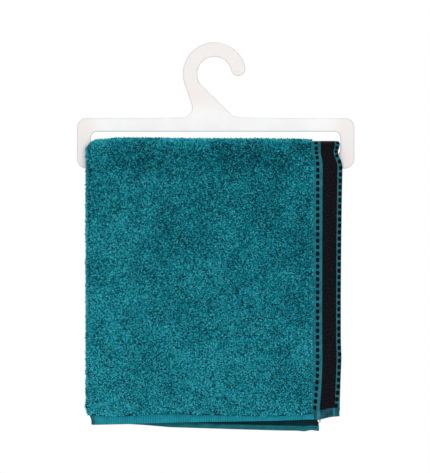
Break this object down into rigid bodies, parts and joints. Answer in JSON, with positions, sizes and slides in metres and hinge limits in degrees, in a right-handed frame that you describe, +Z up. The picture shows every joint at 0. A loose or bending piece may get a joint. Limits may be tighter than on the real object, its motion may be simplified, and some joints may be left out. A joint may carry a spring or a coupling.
{
  "type": "bath towel on hanger",
  "caption": "Terry bath towel with a black woven border, folded and draped over the lower bar of a flat moulded hanger that hooks over a rail.",
  "frame": {"origin": "where a rail carries the hook: the top of the hook's inner circle, at the middle of the plate's thickness", "axes": "+X along the hanger's bars, to the right as seen from the front; -Y towards the front of the folded towel; +Z up"},
  "size_m": [0.3334, 0.0428, 0.4666],
  "materials": {
    "hanger_plastic": "satin translucent white polypropylene",
    "terry": "teal cotton terry, looped pile",
    "woven_teal": "flat woven teal cotton with a column of black dots",
    "woven_black": "flat woven black cotton",
    "hem": "flat teal hem, turned and stitched"
  },
  "bodies": {
    "hanger": {"hanger": "hanger_plastic"},
    "towel_saddle": {"leaf_1_over_bar": "terry", "leaf_2_over_bar": "terry", "leaf_3_over_bar": "terry", "leaf_4_over_bar": "terry", "dotted_stripe_inner_over_bar": "woven_teal", "black_band_over_bar": "woven_black", "dotted_stripe_outer_over_bar": "woven_teal", "end_hem_over_bar": "hem", "end_strip_over_bar": "terry", "far_end_hem_over_bar": "hem"},
    "front_fall": {"leaf_1_front": "terry", "leaf_2_front": "terry", "leaf_3_front": "terry", "leaf_4_front": "terry", "left_fold_outer_front": "terry", "right_fold_front": "terry", "left_fold_inner_front": "terry", "dotted_stripe_inner_front": "woven_teal", "black_band_front": "woven_black", "dotted_stripe_outer_front": "woven_teal", "end_hem_front": "hem", "end_strip_front": "terry", "far_end_hem_front": "hem", "side_hem_front": "hem", "border_hem_front": "hem", "second_side_hem_front": "hem"},
    "back_fall": {"leaf_1_back": "terry", "leaf_2_back": "terry", "leaf_3_back": "terry", "leaf_4_back": "terry", "left_fold_outer_back": "terry", "right_fold_back": "terry", "left_fold_inner_back": "terry", "dotted_stripe_inner_back": "woven_teal", "black_band_back": "woven_black", "dotted_stripe_outer_back": "woven_teal", "end_hem_back": "hem", "end_strip_back": "terry", "far_end_hem_back": "hem", "side_hem_back": "hem", "border_hem_back": "hem", "second_side_hem_back": "hem"}
  },
  "joints": [
    {"name": "towel_lift", "type": "slide", "parent": "hanger", "child": "towel_saddle", "axis": [0, 0, 1], "range_m": [0, 0.006]},
    {"name": "front_fall_swing", "type": "hinge", "parent": "towel_saddle", "child": "front_fall", "pos_m": [0, -0.0115, -0.0996], "axis": [-1, 0, 0], "range_deg": [0, 60]},
    {"name": "back_fall_swing", "type": "hinge", "parent": "towel_saddle", "child": "back_fall", "pos_m": [0, 0.0115, -0.0996], "axis": [1, 0, 0], "range_deg": [0, 60]}
  ]
}
